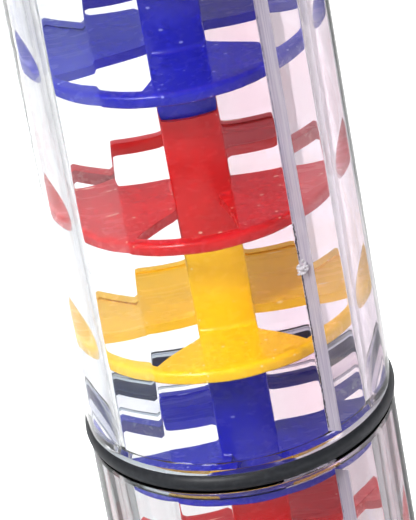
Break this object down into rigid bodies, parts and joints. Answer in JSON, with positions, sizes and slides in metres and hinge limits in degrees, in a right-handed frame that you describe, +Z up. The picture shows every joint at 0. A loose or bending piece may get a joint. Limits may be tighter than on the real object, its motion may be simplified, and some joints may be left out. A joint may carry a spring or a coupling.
{
  "type": "rainstick",
  "caption": "Clear tube rainstick: bladed discs on a central column, black rubber sealing rings, plain end caps and loose beads that trickle down through the discs.",
  "frame": {"origin": "middle of the flat underside of the lower end cap", "axes": "+Z up along the axis of the tubes, -Y towards the side of the first view"},
  "size_m": [0.0566, 0.0566, 0.4],
  "materials": {
    "clear": "clear, glossy",
    "black_rubber": "satin",
    "blue": "glossy",
    "yellow": "glossy",
    "red": "glossy"
  },
  "bodies": {
    "stick": {"lower_tube": "clear", "upper_tube": "clear", "lower_end_ring": "black_rubber", "joint_ring": "black_rubber", "upper_end_ring": "black_rubber", "lower_cap": "clear", "upper_cap": "clear", "column_foot": "yellow", "disc_01": "blue", "disc_02": "yellow", "disc_03": "red", "disc_04": "blue", "disc_05": "yellow", "disc_06": "red", "disc_07": "blue", "disc_08": "yellow", "disc_09": "red", "disc_10": "blue", "disc_11": "yellow", "disc_12": "red", "disc_13": "blue", "column_head": "yellow"},
    "bead_01_body": {"bead_01": "yellow"},
    "bead_02_body": {"bead_02": "red"},
    "bead_03_body": {"bead_03": "blue"},
    "bead_04_body": {"bead_04": "yellow"},
    "bead_05_body": {"bead_05": "red"},
    "bead_06_body": {"bead_06": "blue"},
    "bead_07_body": {"bead_07": "yellow"},
    "bead_08_body": {"bead_08": "red"},
    "bead_09_body": {"bead_09": "blue"},
    "bead_10_body": {"bead_10": "yellow"},
    "bead_11_body": {"bead_11": "red"},
    "bead_12_body": {"bead_12": "blue"},
    "bead_13_body": {"bead_13": "yellow"},
    "bead_14_body": {"bead_14": "red"},
    "bead_15_body": {"bead_15": "blue"},
    "bead_16_body": {"bead_16": "yellow"},
    "bead_17_body": {"bead_17": "red"},
    "bead_18_body": {"bead_18": "blue"},
    "bead_19_body": {"bead_19": "yellow"},
    "bead_20_body": {"bead_20": "red"},
    "bead_21_body": {"bead_21": "blue"},
    "bead_22_body": {"bead_22": "yellow"},
    "bead_23_body": {"bead_23": "red"},
    "bead_24_body": {"bead_24": "blue"},
    "bead_25_body": {"bead_25": "yellow"},
    "bead_26_body": {"bead_26": "red"},
    "bead_27_body": {"bead_27": "blue"},
    "bead_28_body": {"bead_28": "yellow"},
    "bead_29_body": {"bead_29": "red"},
    "bead_30_body": {"bead_30": "blue"}
  },
  "joints": [
    {"name": "bead_01_hop", "type": "slide", "parent": "stick", "child": "bead_01_body", "axis": [0, 0, 1], "range_m": [0, 0.0487]},
    {"name": "bead_02_hop", "type": "slide", "parent": "stick", "child": "bead_02_body", "axis": [0, 0, 1], "range_m": [0, 0.0223]},
    {"name": "bead_03_hop", "type": "slide", "parent": "stick", "child": "bead_03_body", "axis": [0, 0, 1], "range_m": [0, 0.0223]},
    {"name": "bead_04_hop", "type": "slide", "parent": "stick", "child": "bead_04_body", "axis": [0, 0, 1], "range_m": [0, 0.0223]},
    {"name": "bead_05_hop", "type": "slide", "parent": "stick", "child": "bead_05_body", "axis": [0, 0, 1], "range_m": [0, 0.0487]},
    {"name": "bead_06_hop", "type": "slide", "parent": "stick", "child": "bead_06_body", "axis": [0, 0, 1], "range_m": [0, 0.0223]},
    {"name": "bead_07_hop", "type": "slide", "parent": "stick", "child": "bead_07_body", "axis": [0, 0, 1], "range_m": [0, 0.0223]},
    {"name": "bead_08_hop", "type": "slide", "parent": "stick", "child": "bead_08_body", "axis": [0, 0, 1], "range_m": [0, 0.0223]},
    {"name": "bead_09_hop", "type": "slide", "parent": "stick", "child": "bead_09_body", "axis": [0, 0, 1], "range_m": [0, 0.0487]},
    {"name": "bead_10_hop", "type": "slide", "parent": "stick", "child": "bead_10_body", "axis": [0, 0, 1], "range_m": [0, 0.0223]},
    {"name": "bead_11_hop", "type": "slide", "parent": "stick", "child": "bead_11_body", "axis": [0, 0, 1], "range_m": [0, 0.0223]},
    {"name": "bead_12_hop", "type": "slide", "parent": "stick", "child": "bead_12_body", "axis": [0, 0, 1], "range_m": [0, 0.0223]},
    {"name": "bead_13_hop", "type": "slide", "parent": "stick", "child": "bead_13_body", "axis": [0, 0, 1], "range_m": [0, 0.0487]},
    {"name": "bead_14_hop", "type": "slide", "parent": "stick", "child": "bead_14_body", "axis": [0, 0, 1], "range_m": [0, 0.0223]},
    {"name": "bead_15_hop", "type": "slide", "parent": "stick", "child": "bead_15_body", "axis": [0, 0, 1], "range_m": [0, 0.0223]},
    {"name": "bead_16_hop", "type": "slide", "parent": "stick", "child": "bead_16_body", "axis": [0, 0, 1], "range_m": [0, 0.0223]},
    {"name": "bead_17_hop", "type": "slide", "parent": "stick", "child": "bead_17_body", "axis": [0, 0, 1], "range_m": [0, 0.0223]},
    {"name": "bead_18_hop", "type": "slide", "parent": "stick", "child": "bead_18_body", "axis": [0, 0, 1], "range_m": [0, 0.0487]},
    {"name": "bead_19_hop", "type": "slide", "parent": "stick", "child": "bead_19_body", "axis": [0, 0, 1], "range_m": [0, 0.0487]},
    {"name": "bead_20_hop", "type": "slide", "parent": "stick", "child": "bead_20_body", "axis": [0, 0, 1], "range_m": [0, 0.0223]},
    {"name": "bead_21_hop", "type": "slide", "parent": "stick", "child": "bead_21_body", "axis": [0, 0, 1], "range_m": [0, 0.0223]},
    {"name": "bead_22_hop", "type": "slide", "parent": "stick", "child": "bead_22_body", "axis": [0, 0, 1], "range_m": [0, 0.0223]},
    {"name": "bead_23_hop", "type": "slide", "parent": "stick", "child": "bead_23_body", "axis": [0, 0, 1], "range_m": [0, 0.0223]},
    {"name": "bead_24_hop", "type": "slide", "parent": "stick", "child": "bead_24_body", "axis": [0, 0, 1], "range_m": [0, 0.0487]},
    {"name": "bead_25_hop", "type": "slide", "parent": "stick", "child": "bead_25_body", "axis": [0, 0, 1], "range_m": [0, 0.0487]},
    {"name": "bead_26_hop", "type": "slide", "parent": "stick", "child": "bead_26_body", "axis": [0, 0, 1], "range_m": [0, 0.0223]},
    {"name": "bead_27_hop", "type": "slide", "parent": "stick", "child": "bead_27_body", "axis": [0, 0, 1], "range_m": [0, 0.0223]},
    {"name": "bead_28_hop", "type": "slide", "parent": "stick", "child": "bead_28_body", "axis": [0, 0, 1], "range_m": [0, 0.0223]},
    {"name": "bead_29_hop", "type": "slide", "parent": "stick", "child": "bead_29_body", "axis": [0, 0, 1], "range_m": [0, 0.0223]},
    {"name": "bead_30_hop", "type": "slide", "parent": "stick", "child": "bead_30_body", "axis": [0, 0, 1], "range_m": [0, 0.0487]}
  ]
}
